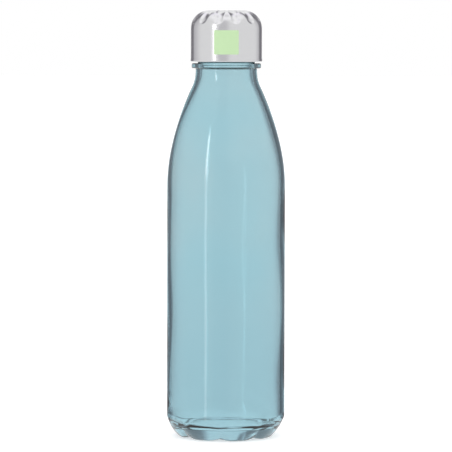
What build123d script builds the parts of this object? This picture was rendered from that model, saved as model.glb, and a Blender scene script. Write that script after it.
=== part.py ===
from build123d import *

import os
from math import cos, hypot, radians, sin, sqrt

# Glass water bottle with a steel screw cap.  Millimetres, +Z up, the origin at the centre of the
# base circle on the surface that the bottle stands on.  The front of the bottle faces -Y.

# ---- driving dimensions: glass body
BODY_R = 35.0
WALL = 2.6
SHOULDER_Z = 147.5      # the straight wall ends here
SHOULDER_R = (113.2, 167.2)     # radii of the ogive's lower and upper arc
SHOULDER_TURN = 12.5    # degrees that the lower arc turns through
NECK_R = 18.15
NECK_SWEEP_R = 22.0     # radius of the concave run into the neck
BORE_R = 14.2
THROAT_Z = (219.0, 227.0)       # heights between which the neck narrows to the bore
BEAD_R = 20.5
BEAD_Z = (218.05, 221.1)
BEAD_ROUND = 0.8
FINISH_R = 16.8         # root of the glass thread
RIM_Z = 243.5
RIM_ROUND = 1.1

# ---- driving dimensions: heel and floor
WALL_FOOT_Z = 13.0
HEEL_TOP = (34.76, 11.35)
HEEL_FOOT = (28.45, 0.7)
HEEL_R = 22.6
FOOT_R = (25.0, 26.5)   # contact ring
PUNT_Z = 5.0            # height of the push-up at the centre
FLOOR_Z = 8.6           # inner floor at the centre
FLOOR_EDGE = (27.0, 7.4)
FLOOR_WALL_Z = 14.0

# ---- driving dimensions: valleys between the lobes of the heel
LOBES = 8
VALLEY_ANGLE = -97.4    # of the first valley, from +X, seen from above
VALLEY_FLOOR_Z = 0.96
VALLEY_LOW = (27.85, 1.65)
VALLEY_HIGH = (34.56, 10.95)
VALLEY_R = 26.0
VALLEY_BEND = 26.1      # radius at which the valley turns up from the foot to the heel
VALLEY_INNER_R = 20.0
VALLEY_FLANK = 12.0     # degrees
VALLEY_HEIGHT = 2.6
VALLEY_ROUND = 4.0

# ---- driving dimensions: thread
LEAD = 4.5
THREAD_TURNS = 1.5
THREAD_H = 1.2
THREAD_BASE = 2.4
THREAD_CREST = 1.2
THREAD_START_Z = 232.4  # centre of the glass ridge at its lower end
THREAD_START_ANGLE = 60.0
THREAD_FADE = 28.0      # degrees over which each end of a ridge runs out
THREAD_ROOT_BITE = 0.3  # depth by which a ridge is sunk in the wall that carries it

# ---- driving dimensions: cap
SHELL_R = 21.05
SHELL_T = 0.5
CORNER_R = 10.75        # large round between the cap's side and its flat top
CAP_TOP_Z = 252.15
HEM_Z = (222.0, 223.75)
HEM_R = (20.05, 21.2)
HEM_ROUND = 0.55
FLUTES = 12
FLUTE_ANGLE = 16.0      # of the first flute, from the front
FLUTE_R = 5.0           # radius of the round punch
FLUTE_DEPTH = 0.9
FLUTE_SPAN = (30.0, 80.0)   # punch centre, degrees above the corner's lower end

# ---- driving dimensions: liner, gasket and print patch
LINER_R = 20.4
LINER_FOOT_Z = 223.9
LINER_TAPER_Z = 238.5
LINER_DOME_R = 9.1
LINER_BORE_R = 18.3
LINER_ROOF = (245.35, 247.2)
LINER_LEAD_IN = 0.6
GASKET_R = (13.4, 17.2)
GASKET_Z = (RIM_Z + 0.05, 245.3)
GASKET_SEAT_R = 17.35
GASKET_ROUND = 0.3
PATCH_W = 14.45
PATCH_H = 14.15
PATCH_T = 0.15
PATCH_GAP = 0.03        # thickness of the adhesive film
PATCH_Z = 233.45
PATCH_ROUND = 0.5


def shoulder_points(inset):
    """Joins of the shoulder, inset from its outer face: between its arcs, at its sweep, at the neck."""
    turn = radians(SHOULDER_TURN)
    shift = SHOULDER_R[0] - SHOULDER_R[1]
    middle = (BODY_R - SHOULDER_R[0] + shift * cos(turn), SHOULDER_Z + shift * sin(turn))
    radius = SHOULDER_R[1] - inset
    reach = SHOULDER_R[1] + NECK_SWEEP_R
    across = NECK_R + NECK_SWEEP_R - middle[0]
    rise = sqrt(reach**2 - across**2)
    share = radius / reach
    return (
        (middle[0] + radius * cos(turn), middle[1] + radius * sin(turn)),
        (middle[0] + share * across, middle[1] + share * rise),
        (NECK_R - inset, middle[1] + rise),
    )


# ================================================================ thread ridges
def ridge_end(angle, height, root_r, crest_r, towards):
    """Triangle that cuts one end of a ridge down to its root over THREAD_FADE degrees."""
    near = radians(angle)
    far = radians(angle + towards * THREAD_FADE)
    over = 1.5 * (crest_r - root_r)
    points = [
        (root_r * cos(near), root_r * sin(near)),
        (crest_r * cos(far), crest_r * sin(far)),
        ((crest_r + over) * cos(far), (crest_r + over) * sin(far)),
        ((crest_r + over) * cos(near), (crest_r + over) * sin(near)),
        ((crest_r + over) * cos(2 * near - far), (crest_r + over) * sin(2 * near - far)),
        (root_r * cos(2 * near - far), root_r * sin(2 * near - far)),
    ]
    with BuildPart() as end:
        with BuildSketch(Plane.XY.offset(height - LEAD / 2)):
            with BuildLine():
                Polyline(*points, close=True)
            make_face()
        extrude(amount=LEAD)
    return end.part


def thread_ridge(root_r, crest_r, start_z, start_angle):
    """Right-hand helical ridge from root_r to crest_r, with both ends run out."""
    bite = THREAD_ROOT_BITE if crest_r < root_r else -THREAD_ROOT_BITE
    slope = (THREAD_BASE - THREAD_CREST) / 2 / THREAD_H
    foot_half = THREAD_BASE / 2 + slope * THREAD_ROOT_BITE
    crest_half = THREAD_CREST / 2
    with BuildPart() as ridge:
        with BuildLine() as path:
            Helix(LEAD, THREAD_TURNS * LEAD, root_r)
        with BuildSketch(Plane(path.line @ 0, x_dir=(1, 0, 0), z_dir=path.line % 0)):
            with BuildLine():
                Polyline(
                    (bite, foot_half),
                    (crest_r - root_r, crest_half),
                    (crest_r - root_r, -crest_half),
                    (bite, -foot_half),
                    close=True,
                )
            make_face()
        sweep(path=path.line, is_frenet=True)
        add(ridge_end(0, 0, root_r, crest_r, 1), mode=Mode.SUBTRACT)
        add(
            ridge_end(360 * THREAD_TURNS, THREAD_TURNS * LEAD, root_r, crest_r, -1),
            mode=Mode.SUBTRACT,
        )
    return Pos(0, 0, start_z) * Rot(0, 0, start_angle) * ridge.part


glass_thread = thread_ridge(FINISH_R, FINISH_R + THREAD_H, THREAD_START_Z, THREAD_START_ANGLE)
liner_thread = thread_ridge(
    LINER_BORE_R, LINER_BORE_R - THREAD_H, THREAD_START_Z - LEAD / 2, THREAD_START_ANGLE
)


# ================================================================ valley of the heel
def valley_centre():
    """Centre of the valley's upper arc, in the radial plane."""
    across = VALLEY_HIGH[0] - VALLEY_LOW[0]
    rise = VALLEY_HIGH[1] - VALLEY_LOW[1]
    chord = hypot(across, rise)
    back = sqrt(VALLEY_R**2 - (chord / 2) ** 2)
    middle = ((VALLEY_HIGH[0] + VALLEY_LOW[0]) / 2, (VALLEY_HIGH[1] + VALLEY_LOW[1]) / 2)
    return middle[0] - back * rise / chord, middle[1] + back * across / chord


with BuildPart() as valley:
    with BuildLine(Plane.XZ) as valley_path:
        run = Line((VALLEY_INNER_R, VALLEY_FLOOR_Z), (VALLEY_BEND, VALLEY_FLOOR_Z))
        bend = TangentArc(run @ 1, VALLEY_LOW, tangent=(1, 0, 0))
        rise = TangentArc(VALLEY_LOW, VALLEY_HIGH, tangent=bend % 1)
    flank = VALLEY_HEIGHT / sin(radians(VALLEY_FLANK)) * cos(radians(VALLEY_FLANK))
    with BuildSketch(Plane((VALLEY_INNER_R, 0, VALLEY_FLOOR_Z), x_dir=(0, 1, 0), z_dir=(1, 0, 0))):
        with BuildLine():
            Polyline((0, 0), (flank, -VALLEY_HEIGHT), (-flank, -VALLEY_HEIGHT), close=True)
        make_face()
    sweep(path=valley_path.line)


# ================================================================ glass bottle
shoulder_bend, shoulder_end, neck_foot = shoulder_points(0)
inner_bend, inner_end, inner_neck = shoulder_points(WALL)

with BuildPart() as glass_bottle:
    with BuildSketch(Plane.XZ):
        with BuildLine():
            punt = ThreePointArc((0, PUNT_Z), (FOOT_R[0] * 0.6, PUNT_Z * 0.68), (FOOT_R[0], 0))
            foot = Line(punt @ 1, (FOOT_R[1], 0))
            round_up = TangentArc(foot @ 1, HEEL_FOOT, tangent=(1, 0))
            heel = RadiusArc(HEEL_FOOT, HEEL_TOP, -HEEL_R)
            wall_foot = TangentArc((BODY_R, WALL_FOOT_Z), HEEL_TOP, tangent=(0, -1))
            wall = Line((BODY_R, WALL_FOOT_Z), (BODY_R, SHOULDER_Z))
            lower_arc = TangentArc(wall @ 1, shoulder_bend, tangent=(0, 1))
            upper_arc = TangentArc(shoulder_bend, shoulder_end, tangent=lower_arc % 1)
            neck_sweep = TangentArc(shoulder_end, neck_foot, tangent=upper_arc % 1)
            Polyline(
                neck_foot,
                (NECK_R, BEAD_Z[1] - BEAD_ROUND),
                (FINISH_R, BEAD_Z[1] - BEAD_ROUND),
                (FINISH_R, RIM_Z),
                (0, RIM_Z),
                (0, PUNT_Z),
            )
        make_face()
    revolve(axis=Axis.Z)
    with BuildSketch(Plane.XZ):
        bead_middle = (BEAD_Z[0] + BEAD_Z[1]) / 2
        with Locations((BEAD_R - FINISH_R / 2, bead_middle)):
            RectangleRounded(FINISH_R, BEAD_Z[1] - BEAD_Z[0], BEAD_ROUND)
    revolve(axis=Axis.Z)
    with PolarLocations(0, LOBES, start_angle=VALLEY_ANGLE):
        add(valley.part, mode=Mode.SUBTRACT)
    with BuildSketch(Plane.XZ):
        with BuildLine():
            floor_half = (FLOOR_EDGE[0] / 2, FLOOR_Z - (FLOOR_Z - FLOOR_EDGE[1]) / 4)
            floor = ThreePointArc((0, FLOOR_Z), floor_half, FLOOR_EDGE)
            floor_round = TangentArc(
                (BODY_R - WALL, FLOOR_WALL_Z), FLOOR_EDGE, tangent=(0, -1)
            )
            inner_wall = Line((BODY_R - WALL, FLOOR_WALL_Z), (BODY_R - WALL, SHOULDER_Z))
            inner_lower = TangentArc(inner_wall @ 1, inner_bend, tangent=(0, 1))
            inner_upper = TangentArc(inner_bend, inner_end, tangent=inner_lower % 1)
            inner_sweep = TangentArc(inner_end, inner_neck, tangent=inner_upper % 1)
            Polyline(
                inner_neck,
                (inner_neck[0], THROAT_Z[0]),
                (BORE_R, THROAT_Z[1]),
                (BORE_R, RIM_Z),
                (0, RIM_Z),
                (0, FLOOR_Z),
            )
        make_face()
    revolve(axis=Axis.Z, mode=Mode.SUBTRACT)
    fillet(glass_bottle.faces().sort_by(Axis.Z)[-1].edges(), RIM_ROUND)
    add(glass_thread)
glass_bottle.part.label = "glass_bottle"


# ================================================================ cap shell
corner_middle = (SHELL_R - CORNER_R, CAP_TOP_Z - CORNER_R)


def dome_outline(inset):
    """Outline of the cup, inset from its outer face."""
    slack = (CORNER_R - inset) * sin(radians(45))
    with BuildSketch(Plane.XZ) as outline:
        with BuildLine():
            side = Line(
                (SHELL_R - inset, HEM_Z[0] + HEM_ROUND), (SHELL_R - inset, corner_middle[1])
            )
            corner = ThreePointArc(
                side @ 1,
                (corner_middle[0] + slack, corner_middle[1] + slack),
                (corner_middle[0], CAP_TOP_Z - inset),
            )
            Polyline(
                corner @ 1,
                (0, CAP_TOP_Z - inset),
                (0, HEM_Z[0] + HEM_ROUND),
                side @ 0,
            )
        make_face()
    return outline.sketch


def flute_punch(inset):
    """Round punch that follows the cup's corner; the inner one is thicker by the sheet."""
    radius = FLUTE_R + inset
    distance = CORNER_R - FLUTE_DEPTH + FLUTE_R
    centre = (corner_middle[0], 0, corner_middle[1])
    with BuildPart() as punch:
        low = radians(FLUTE_SPAN[0])
        with BuildSketch(
            Plane(
                (centre[0] + distance * cos(low), 0, centre[2] + distance * sin(low)),
                x_dir=(cos(low), 0, sin(low)),
                z_dir=(-sin(low), 0, cos(low)),
            )
        ):
            Circle(radius)
        revolve(axis=Axis(centre, (0, -1, 0)), revolution_arc=FLUTE_SPAN[1] - FLUTE_SPAN[0])
        for end in FLUTE_SPAN:
            turn = radians(end)
            with Locations(
                (centre[0] + distance * cos(turn), 0, centre[2] + distance * sin(turn))
            ):
                Sphere(radius)
    return punch.part


outer_punch = flute_punch(0)
inner_punch = flute_punch(SHELL_T)

with BuildPart() as cup_hollow:
    add(dome_outline(SHELL_T))
    revolve(axis=Axis.Z)
    with PolarLocations(0, FLUTES, start_angle=FLUTE_ANGLE - 90):
        add(inner_punch, mode=Mode.SUBTRACT)

with BuildPart() as cap_shell:
    add(dome_outline(0))
    revolve(axis=Axis.Z)
    with PolarLocations(0, FLUTES, start_angle=FLUTE_ANGLE - 90):
        add(outer_punch, mode=Mode.SUBTRACT)
    add(cup_hollow.part, mode=Mode.SUBTRACT)
    with BuildSketch(Plane.XZ):
        with Locations(((HEM_R[0] + HEM_R[1]) / 2, (HEM_Z[0] + HEM_Z[1]) / 2)):
            RectangleRounded(HEM_R[1] - HEM_R[0], HEM_Z[1] - HEM_Z[0], HEM_ROUND)
    revolve(axis=Axis.Z)
cap_shell.part.label = "cap_shell"


# ================================================================ cap liner
def dome_height(radius):
    """Height at which the liner's dome has a radius."""
    return corner_middle[1] + sqrt(LINER_DOME_R**2 - (radius - corner_middle[0]) ** 2)


roof_edge_r = corner_middle[0] + sqrt(LINER_DOME_R**2 - (LINER_ROOF[1] - corner_middle[1]) ** 2)
dome_foot_r = corner_middle[0] + LINER_DOME_R
dome_half_r = (roof_edge_r + dome_foot_r) / 2

with BuildPart() as cap_liner:
    with BuildSketch(Plane.XZ):
        with BuildLine():
            Polyline(
                (LINER_BORE_R + LINER_LEAD_IN, LINER_FOOT_Z),
                (LINER_R, LINER_FOOT_Z),
                (LINER_R, LINER_TAPER_Z),
                (dome_foot_r, corner_middle[1]),
            )
            ThreePointArc(
                (dome_foot_r, corner_middle[1]),
                (dome_half_r, dome_height(dome_half_r)),
                (roof_edge_r, LINER_ROOF[1]),
            )
            Polyline(
                (roof_edge_r, LINER_ROOF[1]),
                (0, LINER_ROOF[1]),
                (0, LINER_ROOF[0]),
                (GASKET_SEAT_R, LINER_ROOF[0]),
                (GASKET_SEAT_R, RIM_Z - RIM_ROUND),
                (LINER_BORE_R, RIM_Z - RIM_ROUND),
                (LINER_BORE_R, LINER_FOOT_Z + LINER_LEAD_IN),
                (LINER_BORE_R + LINER_LEAD_IN, LINER_FOOT_Z),
            )
        make_face()
    revolve(axis=Axis.Z)
    add(liner_thread)
cap_liner.part.label = "cap_liner"


# ================================================================ sealing gasket
with BuildPart() as sealing_gasket:
    with BuildSketch(Plane.XZ):
        with Locations(((GASKET_R[0] + GASKET_R[1]) / 2, (GASKET_Z[0] + GASKET_Z[1]) / 2)):
            RectangleRounded(GASKET_R[1] - GASKET_R[0], GASKET_Z[1] - GASKET_Z[0], GASKET_ROUND)
    revolve(axis=Axis.Z)
sealing_gasket.part.label = "sealing_gasket"


# ================================================================ print patch
patch_inner_r = SHELL_R + PATCH_GAP

with BuildPart() as print_patch:
    with BuildSketch(Plane.XZ.offset(SHELL_R / 2)):
        with Locations((0, PATCH_Z)):
            RectangleRounded(PATCH_W, PATCH_H, PATCH_ROUND)
    extrude(amount=SHELL_R)
    with BuildSketch(Plane.XY.offset(PATCH_Z - PATCH_H)):
        Circle(patch_inner_r + PATCH_T)
        Circle(patch_inner_r, mode=Mode.SUBTRACT)
    extrude(amount=2 * PATCH_H, mode=Mode.INTERSECT)
print_patch.part.label = "print_patch"


os.makedirs("parts", exist_ok=True)
for piece in (glass_bottle, cap_shell, cap_liner, sealing_gasket, print_patch):
    export_step(piece.part, f"parts/{piece.part.label}.step")
    print(piece.part.label, round(piece.part.volume / 1000, 2), "cm3")
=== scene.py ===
from cmath import phase
from math import cos, pi, radians, sin, sqrt

import bpy
import numpy as np
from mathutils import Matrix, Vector


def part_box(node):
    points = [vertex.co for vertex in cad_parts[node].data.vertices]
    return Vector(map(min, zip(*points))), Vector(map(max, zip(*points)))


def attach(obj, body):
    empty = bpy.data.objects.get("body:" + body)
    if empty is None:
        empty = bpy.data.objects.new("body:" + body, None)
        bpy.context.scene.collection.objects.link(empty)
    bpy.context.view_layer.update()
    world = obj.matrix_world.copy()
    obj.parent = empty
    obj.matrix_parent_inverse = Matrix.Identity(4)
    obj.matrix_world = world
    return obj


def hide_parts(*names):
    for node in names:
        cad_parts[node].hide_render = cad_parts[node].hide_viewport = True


# Looks of the glass water bottle.  Lengths in the outlines are millimetres, as in the CAD source,
# and become metres when a mesh is made.  The front of the bottle faces -Y.

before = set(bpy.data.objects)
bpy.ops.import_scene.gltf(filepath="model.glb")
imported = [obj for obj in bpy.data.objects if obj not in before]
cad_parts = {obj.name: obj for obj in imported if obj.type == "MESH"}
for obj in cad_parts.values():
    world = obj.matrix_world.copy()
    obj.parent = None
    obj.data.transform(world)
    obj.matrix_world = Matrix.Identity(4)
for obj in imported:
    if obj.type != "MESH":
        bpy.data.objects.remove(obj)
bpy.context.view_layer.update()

MM = 0.001

# ---- glass body, the CAD model's own sizes
BODY_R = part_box("glass_bottle")[1].x / MM
RIM_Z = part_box("glass_bottle")[1].z / MM
WALL = 2.6
SHOULDER_Z = 147.5
SHOULDER_R = (113.2, 167.2)     # radii of the ogive's lower and upper arc
SHOULDER_TURN = 12.5        # degrees that the lower arc turns through
NECK_R, NECK_SWEEP_R = 18.15, 22.0
BORE_R = 14.2
THROAT_Z = (219.0, 227.0)   # heights between which the neck narrows to the bore
BEAD_R = 20.5
BEAD_Z = (218.05, 221.1)
BEAD_ROUND = 0.8
BEAD_FILLET = 0.4           # where the bead meets the neck and the finish
FINISH_R = 16.8
RIM_ROUND = 1.1
WALL_FOOT = 35.0 + 13.0j
HEEL_TOP = 34.76 + 11.35j
HEEL_FOOT = 28.45 + 0.7j
HEEL_R = 22.6
FOOT_R = (25.0, 26.5)
PUNT_Z = 5.0
FLOOR_Z = 8.6
FLOOR_EDGE = 27.0 + 7.4j
FLOOR_WALL_Z = 14.0

# ---- valleys between the lobes of the heel
LOBES = 8
VALLEY_ANGLE = -97.4        # of the first valley, from +X, seen from above
VALLEY_TOP_Z = 10.9
VALLEY_DEPTH = 1.2
VALLEY_HALF_WIDTH = 14.2    # degrees
VALLEY_LEAN = 56.0          # degrees between the push of a valley and the horizontal
VALLEY_INNER_R = 20.0
VALLEY_SOFT = 1.0           # degrees over which the bottom of a valley is rounded
VALLEY_SHORT = 0.15         # degrees by which that rounding stays short of the full depth
VALLEY_FLANK_POWER = 1.49
VALLEY_RISE_POWER = 0.6
FOOT_SOFT = 0.01            # rounding, in square mm, where a valley lifts the foot

# ---- drift of the blown inner face, outwards where negative
DRIFT_MEAN = -0.48
DRIFT_TURNING = 0.33        # part whose direction turns with height
DRIFT_FIXED = 0.14
DRIFT_START_Z = 32.0
DRIFT_LEAD = 80.0           # height in which the direction turns once
DRIFT_RIPPLES = ((0.05, 3, 19.0, 0.0), (0.04, 5, -31.0, 1.0))     # size, waves, slope in mm, offset
DRIFT_FADE = (12.0, 30.0)   # heights over which it sets in above the floor and ends below DRIFT_TOP_Z
DRIFT_TOP_Z = 212.0

# ---- glass thread
LEAD = 4.5
THREAD_TURNS = 1.5
THREAD_H = 1.2
THREAD_HALF = (0.6, 1.2)    # half widths at the crest and at the root
THREAD_START_Z = 232.4
THREAD_START_ANGLE = 60.0
THREAD_FADE = 28.0

# ---- steel cap
SHELL_R = 21.05
SHELL_T = 0.5
CORNER_R = 10.75
CAP_TOP_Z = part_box("cap_shell")[1].z / MM
HEM_Z = (222.0, 223.75)
HEM_R = (20.05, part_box("cap_shell")[1].x / MM)
HEM_ROUND = 0.55
HEM_STEP = 0.7              # height in which the hem runs out into the side
FLUTES = 12
FLUTE_ANGLE = 16.0          # of the first flute, from the front
FLUTE_R = 5.0
FLUTE_DEPTH = 0.9
FLUTE_SPAN = (30.0, 80.0)   # degrees above the corner's lower end
FLUTE_SOFT = 0.12           # rounding of a flute's edge
FLUTE_REACH = 4.0           # distance below the corner that a flute can touch
FLUTE_LEAST = 0.006         # shallower than this counts as no flute


# ================================================================ outlines, as complex r + i z
def arc(start, end, half_turn, steps):
    """Points of an arc after its start; it turns by twice half_turn, left if positive."""
    share = np.arange(1, steps + 1) / steps
    reach = np.sin(share * half_turn) / sin(half_turn)
    return start + (end - start) * reach * np.exp(1j * (share - 1) * half_turn)


def arc_leaving(start, heading, end, steps):
    return arc(start, end, phase((end - start) / heading), steps)


def arc_arriving(start, end, heading, steps):
    return arc(start, end, phase(heading / (end - start)), steps)


def arc_round(start, end, centre, steps):
    return arc(start, end, phase((end - centre) / (start - centre)) / 2, steps)


def line(start, end, steps):
    return start + (end - start) * np.arange(1, steps + 1) / steps


def shoulder_joins(inset):
    """Joins of the shoulder, inset from its outer face: between its arcs, at its sweep, at the neck."""
    out = np.exp(1j * radians(SHOULDER_TURN))
    middle = BODY_R - SHOULDER_R[0] + 1j * SHOULDER_Z + (SHOULDER_R[0] - SHOULDER_R[1]) * out
    across = NECK_R + NECK_SWEEP_R - middle.real
    rise = sqrt((SHOULDER_R[1] + NECK_SWEEP_R) ** 2 - across**2)
    share = (SHOULDER_R[1] - inset) / (SHOULDER_R[1] + NECK_SWEEP_R)
    bend = middle + (SHOULDER_R[1] - inset) * out
    return bend, middle + share * (across + 1j * rise), NECK_R - inset + 1j * (middle.imag + rise)


def heel_heading():
    """Direction in which the heel's arc leaves the foot."""
    chord = HEEL_TOP - HEEL_FOOT
    half_turn = np.arcsin(abs(chord) / 2 / HEEL_R)
    return chord / abs(chord) * np.exp(-1j * half_turn)


def glass_outline():
    """Points from the middle of the base, over the rim, to the middle of the inner floor.

    Also returns how many of them lie before the rim.
    """
    punt_edge = FOOT_R[0] + 0j
    punt_top = 1j * PUNT_Z
    punt_centre = 1j * (PUNT_Z - (FOOT_R[0] ** 2 + PUNT_Z**2) / (2 * PUNT_Z))
    bend, shoulder_end, neck_end = shoulder_joins(0)
    inner_bend, inner_end, inner_neck = shoulder_joins(WALL)
    bend_heading = 1j * np.exp(1j * radians(SHOULDER_TURN))
    throat = (inner_neck.real + 1j * THROAT_Z[0], BORE_R + 1j * THROAT_Z[1])
    widening = throat[0] - throat[1]
    steps = np.arange(1, 13) / 12
    wall_top = BODY_R + 1j * SHOULDER_Z
    under_bead = NECK_R + 1j * BEAD_Z[0]
    bead_low = BEAD_R + 1j * (BEAD_Z[0] + BEAD_ROUND)
    bead_high = BEAD_R + 1j * (BEAD_Z[1] - BEAD_ROUND)
    over_bead = FINISH_R + 1j * BEAD_Z[1]
    rim_out = FINISH_R + 1j * (RIM_Z - RIM_ROUND)
    rim_in = BORE_R + 1j * (RIM_Z - RIM_ROUND)
    inner_top = BODY_R - WALL + 1j * SHOULDER_Z
    inner_foot = BODY_R - WALL + 1j * FLOOR_WALL_Z
    inner_middle = 1j * FLOOR_Z
    floor_fall = FLOOR_Z - FLOOR_EDGE.imag
    floor_centre = 1j * (FLOOR_Z - (FLOOR_EDGE.real**2 + floor_fall**2) / (2 * floor_fall))
    outside = [
        [punt_top],
        arc_round(punt_top, punt_edge, punt_centre, 16),
        line(punt_edge, FOOT_R[1] + 0j, 3),
        arc_leaving(FOOT_R[1] + 0j, 1, HEEL_FOOT, 4),
        arc_leaving(HEEL_FOOT, heel_heading(), HEEL_TOP, 30),
        arc_arriving(HEEL_TOP, WALL_FOOT, 1j, 5),
        line(WALL_FOOT, wall_top, 24),
        arc_leaving(wall_top, 1j, bend, 16),
        arc_leaving(bend, bend_heading, shoulder_end, 26),
        arc_arriving(shoulder_end, neck_end, 1j, 12),
        line(neck_end, under_bead - 1j * BEAD_FILLET, 3),
        arc_leaving(under_bead - 1j * BEAD_FILLET, 1j, under_bead + BEAD_FILLET, 4),
        line(under_bead + BEAD_FILLET, bead_low - BEAD_ROUND * (1 + 1j), 3),
        arc_leaving(bead_low - BEAD_ROUND * (1 + 1j), 1, bead_low, 5),
        line(bead_low, bead_high, 4),
        arc_leaving(bead_high, 1j, bead_high - BEAD_ROUND * (1 - 1j), 5),
        line(bead_high - BEAD_ROUND * (1 - 1j), over_bead + BEAD_FILLET, 4),
        arc_leaving(over_bead + BEAD_FILLET, -1, over_bead + 1j * BEAD_FILLET, 4),
        line(over_bead + 1j * BEAD_FILLET, rim_out, 70),
        arc_leaving(rim_out, 1j, rim_out - RIM_ROUND * (1 - 1j), 6),
    ]
    inside = [
        line(rim_out - RIM_ROUND * (1 - 1j), rim_in + RIM_ROUND * (1 + 1j), 2),
        arc_leaving(rim_in + RIM_ROUND * (1 + 1j), -1, rim_in, 6),
        line(rim_in, throat[1], 10),
        throat[1] + widening.real * smooth(steps) + 1j * widening.imag * steps,
        line(throat[0], inner_neck, 3),
        arc_leaving(inner_neck, -1j, inner_end, 12),
        arc_arriving(inner_end, inner_bend, -bend_heading, 26),
        arc_arriving(inner_bend, inner_top, -1j, 16),
        line(inner_top, inner_foot, 40),
        arc_leaving(inner_foot, -1j, FLOOR_EDGE, 12),
        arc_round(FLOOR_EDGE, inner_middle, floor_centre, 14),
    ]
    return np.concatenate(outside + inside), sum(len(run) for run in outside)


def shell_outline():
    """Points from the middle of the roof's underside, round the hem, to the middle of the roof.

    Also returns how many of them lie before the hem.
    """
    inner_roof = 1j * (CAP_TOP_Z - SHELL_T)
    corner = SHELL_R - CORNER_R + 1j * (CAP_TOP_Z - CORNER_R)
    inner_top = corner + 1j * (CORNER_R - SHELL_T)
    inner_side = corner + CORNER_R - SHELL_T
    inner_low = SHELL_R - SHELL_T + 1j * HEM_Z[1]
    hem_low, hem_high = HEM_Z[0] + HEM_ROUND, HEM_Z[1] - HEM_ROUND
    hem_inner = (HEM_R[0] + 1j * hem_high, HEM_R[0] + 1j * hem_low)
    hem_foot = (HEM_R[0] + HEM_ROUND + 1j * HEM_Z[0], HEM_R[1] - HEM_ROUND + 1j * HEM_Z[0])
    hem_outer = (HEM_R[1] + 1j * hem_low, HEM_R[1] + 1j * hem_high)
    steps = np.arange(1, 9) / 8
    hem_step = hem_outer[1] + (SHELL_R - HEM_R[1]) * smooth(steps) + 1j * HEM_STEP * steps
    inside = [
        [inner_roof],
        line(inner_roof, inner_top, 14),
        arc_round(inner_top, inner_side, corner, 40),
        line(inner_side, inner_low, 8),
    ]
    outside = [
        arc_leaving(inner_low, -1, hem_inner[0], 4),
        line(*hem_inner, 3),
        arc_leaving(hem_inner[1], -1j, hem_foot[0], 5),
        line(*hem_foot, 2),
        arc_leaving(hem_foot[1], 1, hem_outer[0], 5),
        line(*hem_outer, 3),
        hem_step,
        line(hem_step[-1], corner + CORNER_R, 20),
        arc_round(corner + CORNER_R, corner + 1j * CORNER_R, corner, 48),
        line(corner + 1j * CORNER_R, 1j * CAP_TOP_Z, 18),
    ]
    return np.concatenate(inside + outside), sum(len(run) for run in inside)


# ================================================================ surfaces of revolution
def smooth(x):
    """0 to 1 with level ends."""
    x = np.clip(x, 0, 1)
    return x * x * (3 - 2 * x)


def crowded_angles(count, sectors, first, crowding):
    """Polar angles, in degrees, that lie closer together where each sector starts."""
    u = np.arange(count) * sectors / count
    return first + 360 / sectors * (u - crowding * np.sin(2 * pi * u) / (2 * pi))


def revolved(name, outline, angles, shape, slots=None):
    """Closed mesh from an outline that starts and ends on the axis. shape moves its (r, z) at each angle."""
    count = len(angles)
    rings = len(outline) - 2
    r = np.repeat(outline.real[1:-1, None], count, 1)
    z = np.repeat(outline.imag[1:-1, None], count, 1)
    turn = np.repeat(angles[None, :], rings, 0)
    r, z = shape(r, z, turn)
    around = np.radians(turn)
    points = np.stack([r * np.cos(around), r * np.sin(around), z], -1).reshape(-1, 3)
    poles = [(0, 0, outline[0].imag), (0, 0, outline[-1].imag)]
    faces = []
    for k in range(rings - 1):
        for j in range(count):
            n = (j + 1) % count
            faces.append((k * count + j, k * count + n, (k + 1) * count + n, (k + 1) * count + j))
    first_pole = rings * count
    last_ring = (rings - 1) * count
    for j in range(count):
        n = (j + 1) % count
        faces.append((first_pole, n, j))
        faces.append((first_pole + 1, last_ring + j, last_ring + n))
    mesh = bpy.data.meshes.new(name)
    mesh.from_pydata([tuple(p) for p in np.vstack([points, poles]) * MM], [], faces)
    if slots is not None:
        ring = np.repeat(np.arange(rings - 1), count)
        ends = np.tile([0, rings], count)
        mesh.polygons.foreach_set("material_index", slots(np.concatenate([ring, ends])).astype(np.int32))
    mesh.polygons.foreach_set("use_smooth", [True] * len(mesh.polygons))
    mesh.update()
    piece = bpy.data.objects.new(name, mesh)
    bpy.context.scene.collection.objects.link(piece)
    return piece


# ================================================================ glass body
def valley_share(turn):
    """1 in the middle of a valley, 0 on the lobes."""
    pitch = 360 / LOBES
    off = np.abs((turn - VALLEY_ANGLE + pitch / 2) % pitch - pitch / 2)
    off = np.sqrt(off**2 + VALLEY_SOFT**2) - VALLEY_SOFT + VALLEY_SHORT
    return np.clip(1 - off / VALLEY_HALF_WIDTH, 0, 1) ** VALLEY_FLANK_POWER


def press_valleys(r, z, turn):
    """Pushes the heel in at each valley and lifts the foot where the valley runs out under it."""
    share = valley_share(turn)
    height = np.clip((VALLEY_TOP_Z - z) / VALLEY_TOP_Z, 0, 1) ** VALLEY_RISE_POWER
    push = VALLEY_DEPTH * height * share
    lean = radians(VALLEY_LEAN)
    on_heel = smooth((r - VALLEY_INNER_R) / (FOOT_R[0] - VALLEY_INNER_R))
    heel_z = z + push * sin(lean)
    under = r < FOOT_R[0]
    lift = VALLEY_DEPTH * sin(lean) * share - z
    foot_z = z + 0.5 * (lift + np.sqrt(lift**2 + FOOT_SOFT)) * on_heel
    return r - push * cos(lean) * on_heel, np.where(under, foot_z, heel_z)


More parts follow.
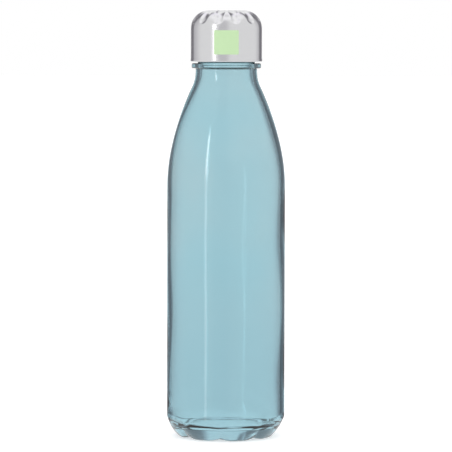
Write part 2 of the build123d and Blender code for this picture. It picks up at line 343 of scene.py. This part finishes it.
def raise_thread(r, z, turn):
    """Adds the helical ridge of the screw finish."""
    height = np.zeros_like(z)
    for k in range(3):
        run = (turn - THREAD_START_ANGLE) % 360 + 360 * k
        middle = THREAD_START_Z + LEAD * run / 360
        across = (THREAD_HALF[1] - np.abs(z - middle)) / (THREAD_HALF[1] - THREAD_HALF[0])
        left = 360 * THREAD_TURNS - run
        ends = smooth(run / THREAD_FADE) * smooth(left / THREAD_FADE)
        height = np.maximum(height, THREAD_H * smooth(across) * ends)
    return r + height


def wall_drift(z, turn):
    """How far the blown inner face wanders inwards: the thick side turns with height."""
    climb = 2 * pi * (z - DRIFT_START_Z) / DRIFT_LEAD
    angle = np.radians(turn)
    drift = DRIFT_TURNING * np.cos(angle - climb) + DRIFT_FIXED * np.cos(angle) + DRIFT_MEAN
    for size, waves, slope, offset in DRIFT_RIPPLES:
        drift += size * np.sin(waves * angle + z / slope + offset)
    sets_in, ends = DRIFT_FADE
    return drift * smooth((z - FLOOR_WALL_Z) / sets_in) * smooth((DRIFT_TOP_Z - z) / ends)


def shape_glass(rim):
    """The glass's shape function, for an outline with the rim at that index."""
    def shape(r, z, turn):
        outer = np.arange(len(r))[:, None] < rim - 1
        low = z < VALLEY_TOP_Z
        pressed_r, pressed_z = press_valleys(r, z, turn)
        r = np.where(outer & low, pressed_r, r)
        z = np.where(outer & low, pressed_z, z)
        finish = outer & (z > BEAD_Z[1] + 1) & (z < RIM_Z - RIM_ROUND - 0.01)
        r = np.where(finish, raise_thread(r, z, turn), r)
        inner_wall = ~outer & (z < THROAT_Z[0])
        r = np.where(inner_wall, r - wall_drift(z, turn), r)
        return r, z
    return shape


def make_glass():
    outline, rim = glass_outline()
    angles = crowded_angles(240, LOBES, VALLEY_ANGLE, 0.45)
    piece = revolved("bottle_glass", outline, angles, shape_glass(rim), lambda ring: ring >= rim - 1)
    piece.data.materials.append(tinted_glass())
    piece.data.materials.append(clear_glass())
    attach(piece, "bottle")
    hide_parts("glass_bottle")


# ================================================================ steel cap
def flute_depth(r, z, turn, inset):
    """Depth of the pressed flutes at points of the corner, each flute a round-ended groove."""
    corner_r = SHELL_R - CORNER_R
    corner_z = CAP_TOP_Z - CORNER_R
    radius = CORNER_R - inset
    rise = np.degrees(np.arctan2(z - corner_z, r - corner_r))
    pitch = 360 / FLUTES
    off = np.radians((turn + 90 - FLUTE_ANGLE + pitch / 2) % pitch - pitch / 2)
    held = np.radians(np.clip(rise, *FLUTE_SPAN))
    line_r = corner_r + radius * np.cos(held)
    line_z = corner_z + radius * np.sin(held)
    q = np.sqrt((r * np.cos(off) - line_r) ** 2 + (r * np.sin(off)) ** 2 + (z - line_z) ** 2)
    punch = FLUTE_R + inset
    depth = np.sqrt(np.clip(punch**2 - q**2, 0, None)) - (punch - FLUTE_DEPTH)
    depth = np.where(q < punch, depth, -(punch - FLUTE_DEPTH))
    return 0.5 * (depth + np.sqrt(depth**2 + FLUTE_SOFT**2))


def shape_shell(hem):
    """The shell's shape function, for an outline with the hem at that index."""
    def shape(r, z, turn):
        corner_r = SHELL_R - CORNER_R
        corner_z = CAP_TOP_Z - CORNER_R
        inner = np.arange(len(r))[:, None] < hem
        depth = np.where(inner, flute_depth(r, z, turn, SHELL_T), flute_depth(r, z, turn, 0.0))
        reach = np.hypot(r - corner_r, z - corner_z)
        on_corner = z > corner_z - FLUTE_REACH
        nr = np.where(r > corner_r, (r - corner_r) / reach, 0)
        nz = np.where(r > corner_r, (z - corner_z) / reach, 1)
        nr = np.where(z < corner_z, 1, nr)
        nz = np.where(z < corner_z, 0, nz)
        depth = np.where(on_corner, depth, 0)
        depth = np.where(depth > FLUTE_LEAST, depth, 0)
        return r - depth * nr, z - depth * nz
    return shape


def make_shell():
    outline, hem = shell_outline()
    angles = np.arange(360) - 90.0
    piece = revolved("cap_steel", outline, angles, shape_shell(hem))
    piece.data.materials.append(brushed_steel())
    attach(piece, "cap")
    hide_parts("cap_shell")


# ================================================================ materials
class Nodes:
    """Short hand for building a node tree."""

    def __init__(self, tree):
        self.tree = tree
        tree.nodes.clear()

    def add(self, kind, settings=None, **links):
        node = self.tree.nodes.new(kind)
        for name, value in (settings or {}).items():
            setattr(node, name, value)
        for name, value in links.items():
            socket = self.socket(node, name)
            if isinstance(value, bpy.types.NodeSocket):
                self.tree.links.new(value, socket)
            else:
                socket.default_value = value
        return node

    def socket(self, node, name):
        if name[0] == "i" and name[1:].isdigit():
            return node.inputs[int(name[1:])]
        return node.inputs[name.replace("_", " ")]

    def math(self, operation, a, b=0.0, c=0.0):
        return self.add("ShaderNodeMath", {"operation": operation}, i0=a, i1=b, i2=c).outputs[0]

    def ease(self, value, low, high, out_low=0.0, out_high=1.0):
        return self.add(
            "ShaderNodeMapRange", {"interpolation_type": "SMOOTHSTEP"},
            i0=value, i1=low, i2=high, i3=out_low, i4=out_high,
        ).outputs[0]

    def noise(self, vector, scale, detail=2.0, roughness=0.5):
        return self.add(
            "ShaderNodeTexNoise", Vector=vector, Scale=scale, Detail=detail, Roughness=roughness
        ).outputs["Fac"]

    def mix(self, share, a, b):
        return self.add("ShaderNodeMix", {"data_type": "RGBA"}, i0=share, i6=a, i7=b).outputs[2]

    def blend(self, share, a, b):
        return self.add("ShaderNodeMix", {"data_type": "FLOAT"}, i0=share, i2=a, i3=b).outputs[0]

    def bump(self, height, strength, distance):
        bump = self.add("ShaderNodeBump", Height=height, Strength=strength, Distance=distance)
        return bump.outputs[0]


def material(name):
    made = bpy.data.materials.new(name)
    made.use_nodes = True
    return made, Nodes(made.node_tree)


def finish_material(made, nodes, **shader):
    principled = nodes.add("ShaderNodeBsdfPrincipled", **shader)
    output = nodes.add("ShaderNodeOutputMaterial")
    nodes.tree.links.new(principled.outputs[0], output.inputs["Surface"])
    return made


def grey(level):
    return (level, level, level, 1.0)


def tinted_glass():
    """Clear glass with a thin aqua coating on its outer face."""
    made, nodes = material("aqua_coated_glass")
    where = nodes.add("ShaderNodeTexCoord").outputs["Object"]
    cloud = nodes.noise(where, 14.0, 2.0)
    tint = nodes.mix(nodes.ease(cloud, 0.3, 0.7), (0.330, 0.581, 0.662, 1), (0.396, 0.586, 0.643, 1))
    height = nodes.add("ShaderNodeSeparateXYZ", Vector=where).outputs[2]
    tint = nodes.mix(nodes.ease(height, 0.14, 0.02), tint, (0.312, 0.539, 0.620, 1))
    ripple = nodes.noise(where, 60.0, 2.0)
    return finish_material(
        made, nodes,
        Base_Color=tint, Roughness=0.0, IOR=1.5, Transmission_Weight=1.0,
        Normal=nodes.bump(ripple, 0.05, 0.0002),
    )


def clear_glass():
    """The bare inner face, with the faint ripple of blown glass."""
    made, nodes = material("clear_inner_glass")
    where = nodes.add("ShaderNodeTexCoord").outputs["Object"]
    cloud = nodes.noise(where, 30.0, 2.0)
    tint = nodes.mix(cloud, (0.97, 0.985, 0.985, 1), (0.99, 0.995, 0.995, 1))
    ripple = nodes.noise(where, 45.0, 2.0)
    return finish_material(
        made, nodes,
        Base_Color=tint, Roughness=0.0, IOR=1.5, Transmission_Weight=1.0,
        Normal=nodes.bump(ripple, 0.05, 0.0003),
    )


def ring_coordinates(nodes):
    """Coordinates that barely change round the axis and change fast across it, for a turned finish."""
    split = nodes.add("ShaderNodeSeparateXYZ", Vector=nodes.add("ShaderNodeTexCoord").outputs["Object"])
    x, y, z = split.outputs
    r = nodes.math("SQRT", nodes.math("ADD", nodes.math("MULTIPLY", x, x), nodes.math("MULTIPLY", y, y)))
    r = nodes.math("MAXIMUM", r, 0.0001)
    return nodes.add(
        "ShaderNodeCombineXYZ",
        X=nodes.math("DIVIDE", x, r), Y=nodes.math("DIVIDE", y, r),
        Z=nodes.math("MULTIPLY", nodes.math("SUBTRACT", z, r), 900.0),
    ).outputs[0]


def brushed_steel():
    made, nodes = material("brushed_steel")
    rings = ring_coordinates(nodes)
    grain = nodes.noise(rings, 4.0, 4.0, 0.6)
    where = nodes.add("ShaderNodeTexCoord").outputs["Object"]
    smear = nodes.noise(where, 90.0, 3.0)
    colour = nodes.mix(grain, (0.70, 0.70, 0.715, 1), (0.79, 0.79, 0.80, 1))
    smeared = nodes.math("MULTIPLY_ADD", smear, 0.04, 0.15)
    roughness = nodes.math("ADD", nodes.math("MULTIPLY", grain, 0.06), smeared)
    round_axis = nodes.add("ShaderNodeTangent", {"direction_type": "RADIAL", "axis": "Z"}).outputs[0]
    return finish_material(
        made, nodes,
        Base_Color=colour, Metallic=1.0, Roughness=roughness, Anisotropic=0.45,
        Anisotropic_Rotation=0.25, Tangent=round_axis, Normal=nodes.bump(grain, 0.08, 0.00002),
    )


def print_ink():
    made, nodes = material("print_ink")
    where = nodes.add("ShaderNodeTexCoord").outputs["Object"]
    mottle = nodes.noise(where, 900.0, 3.0, 0.6)
    colour = nodes.mix(mottle, (0.505, 0.70, 0.405, 1), (0.53, 0.72, 0.427, 1))
    return finish_material(
        made, nodes,
        Base_Color=colour, Roughness=0.6, Specular_IOR_Level=0.25,
        Normal=nodes.bump(mottle, 0.1, 0.00003),
    )


def liner_plastic():
    made, nodes = material("liner_plastic")
    where = nodes.add("ShaderNodeTexCoord").outputs["Object"]
    cloud = nodes.noise(where, 160.0, 3.0)
    colour = nodes.mix(cloud, (0.74, 0.74, 0.72, 1), (0.82, 0.82, 0.80, 1))
    grain = nodes.noise(where, 2500.0, 2.0)
    return finish_material(
        made, nodes,
        Base_Color=colour, Roughness=nodes.math("MULTIPLY_ADD", cloud, 0.15, 0.35),
        Normal=nodes.bump(grain, 0.12, 0.00003),
    )


def gasket_silicone():
    made, nodes = material("gasket_silicone")
    where = nodes.add("ShaderNodeTexCoord").outputs["Object"]
    cloud = nodes.noise(where, 240.0, 3.0)
    colour = nodes.mix(cloud, (0.66, 0.67, 0.66, 1), (0.76, 0.77, 0.76, 1))
    return finish_material(
        made, nodes,
        Base_Color=colour, Roughness=nodes.math("MULTIPLY_ADD", cloud, 0.2, 0.45),
        Normal=nodes.bump(cloud, 0.15, 0.00005),
    )


def paint_cad_node(name, made):
    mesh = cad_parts[name].data
    mesh.materials.clear()
    mesh.materials.append(made)


# ================================================================ studio
# Soft panels of light and dark flags round the bottle. Each runs between two angles, in degrees from
# straight behind the bottle towards the right, has the width over which either edge fades, and adds to
# or takes from the room's level. Names ending in RISE are angles above the horizon between which a
# part of the studio sets in or ends.
ROOM_LEVEL = 0.88
PANELS = [
    ("backdrop", (-14.0, 14.0), (14.0, 14.0), 0.12),
    ("right_flag", (19.0, 46.0), (9.0, 5.0), -0.42),
    ("right_shade", (19.0, 52.0), (9.0, 24.0), -0.24),
    ("left_flag", (-46.0, -20.0), (5.0, 4.0), -0.36),
    ("left_shade", (-50.0, -20.0), (44.0, 4.0), -0.30),
    ("camera_gap", (-176.0, -157.0), (20.0, 8.0), -0.22),
]
FLAG_FOOT = (-19.0, -13.0)     # angles above the horizon between which the flags set in
FLAG_DEPTH = 0.66           # change of level at which FLAG_COLOUR is full
FLAG_COLOUR = (1.0, 0.97, 1.05, 1.0)
TABLE_LEVEL = 1.1
TABLE_RISE = (-12.0, -22.0)
OVERHEAD_LEVEL = 0.84
OVERHEAD_RISE = (46.0, 66.0)
SOFTBOX_LEVEL = 0.28
SOFTBOX_RISE = ((44.0, 62.0), (74.0, 88.0))
STRIP = ((-141.0, -139.4), (3.0, 3.0))
STRIP_LEVEL = 6.0
STRIP_LOW_SHARE = 0.3
STRIP_RISE = ((-14.0, -8.0), (3.0, 9.0), (25.0, 28.5))     # it sets in, reaches full level, ends

FLOOR_HALF = 12.0           # metres
FLOOR_DROP = 0.0001
FLOOR_GLOW = 0.55           # strength of its emission

CAMERA_AT = (0.0, -1.8, 0.245)
CAMERA_AIM = (0.0, 0.0, 0.12475)
CAMERA_LENS = 242.6
CAMERA_ROLL = 0.12          # degrees


def panel_mask(nodes, azimuth, edges, fades):
    """1 between a panel's edges and 0 beyond its fades."""
    half_width = (edges[1] - edges[0]) / 2
    off = nodes.math("WRAP", nodes.math("SUBTRACT", azimuth, edges[0] + half_width), 180.0, -180.0)
    left = nodes.ease(off, -half_width - fades[0], -half_width)
    right = nodes.ease(off, half_width + fades[1], half_width)
    return nodes.math("MULTIPLY", left, right)


def light_studio():
    world = bpy.data.worlds.new("studio")
    world.use_nodes = True
    bpy.context.scene.world = world
    nodes = Nodes(world.node_tree)
    split = nodes.add("ShaderNodeSeparateXYZ", Vector=nodes.add("ShaderNodeTexCoord").outputs["Generated"])
    x, y, z = split.outputs
    azimuth = nodes.math("DEGREES", nodes.math("ARCTAN2", x, y))
    rise = nodes.math("DEGREES", nodes.math("ARCSINE", z))
    level = ROOM_LEVEL
    shade = 0.0
    for _, edges, fades, change in PANELS:
        mask = panel_mask(nodes, azimuth, edges, fades)
        if change < 0:
            mask = nodes.math("MULTIPLY", mask, nodes.ease(rise, *FLAG_FOOT))
            shade = nodes.math("MULTIPLY_ADD", mask, -change / FLAG_DEPTH, shade)
        level = nodes.math("MULTIPLY_ADD", mask, change, level)
    table = nodes.ease(rise, *TABLE_RISE)
    level = nodes.blend(table, level, TABLE_LEVEL)
    strip = panel_mask(nodes, azimuth, *STRIP)
    foot, middle, head = STRIP_RISE
    strip = nodes.math("MULTIPLY", strip, nodes.ease(rise, *foot))
    strip = nodes.math("MULTIPLY", strip, nodes.ease(rise, *middle, STRIP_LOW_SHARE, 1.0))
    strip = nodes.math("MULTIPLY", strip, nodes.ease(rise, head[1], head[0]))
    level = nodes.math("MULTIPLY_ADD", strip, STRIP_LEVEL, level)
    overhead = nodes.ease(rise, *OVERHEAD_RISE)
    level = nodes.blend(overhead, level, OVERHEAD_LEVEL)
    low, high = SOFTBOX_RISE
    softbox = nodes.math("MULTIPLY", nodes.ease(rise, *low), nodes.ease(rise, high[1], high[0]))
    level = nodes.math("MULTIPLY_ADD", softbox, SOFTBOX_LEVEL, level)
    seen = nodes.add("ShaderNodeLightPath").outputs["Is Camera Ray"]
    level = nodes.blend(seen, level, 1.0)
    shade = nodes.math("MULTIPLY", shade, nodes.math("SUBTRACT", 1.0, seen))
    colour = nodes.mix(shade, grey(1.0), FLAG_COLOUR)
    background = nodes.add("ShaderNodeBackground", Color=colour, Strength=level)
    output = nodes.add("ShaderNodeOutputWorld")
    nodes.tree.links.new(background.outputs[0], output.inputs["Surface"])


def lay_floor():
    """A plain pale floor that the glass neither mirrors nor bends into view."""
    half = FLOOR_HALF
    corners = [(-half, -half, 0), (half, -half, 0), (half, half, 0), (-half, half, 0)]
    mesh = bpy.data.meshes.new("floor")
    mesh.from_pydata(corners, [], [(0, 1, 2, 3)])
    floor = bpy.data.objects.new("floor", mesh)
    bpy.context.scene.collection.objects.link(floor)
    floor.location.z = -FLOOR_DROP
    floor.visible_glossy = False
    floor.visible_transmission = False
    made, nodes = material("pale_floor")
    where = nodes.add("ShaderNodeTexCoord").outputs["Object"]
    cloud = nodes.noise(where, 3.0, 2.0)
    colour = nodes.mix(cloud, grey(0.93), grey(0.95))
    mesh.materials.append(finish_material(
        made, nodes,
        Base_Color=colour, Roughness=0.9, Emission_Color=grey(1.0), Emission_Strength=FLOOR_GLOW,
    ))


def place_camera():
    """The photograph's view: slightly above, with a long lens, straight at the front."""
    data = bpy.data.cameras.new("camera")
    data.lens = CAMERA_LENS
    data.sensor_width = 36.0
    data.clip_start = 0.05
    data.clip_end = 100.0
    camera = bpy.data.objects.new("camera", data)
    bpy.context.scene.collection.objects.link(camera)
    camera.location = CAMERA_AT
    heading = Vector(CAMERA_AIM) - camera.location
    camera.rotation_euler = heading.to_track_quat("-Z", "Y").to_euler()
    camera.rotation_euler.rotate_axis("Z", radians(CAMERA_ROLL))
    bpy.context.scene.camera = camera


make_glass()
make_shell()
paint_cad_node("cap_liner", liner_plastic())
paint_cad_node("sealing_gasket", gasket_silicone())
paint_cad_node("print_patch", print_ink())
light_studio()
lay_floor()
place_camera()
bpy.context.scene.view_settings.view_transform = "Standard"

bpy.context.view_layer.update()
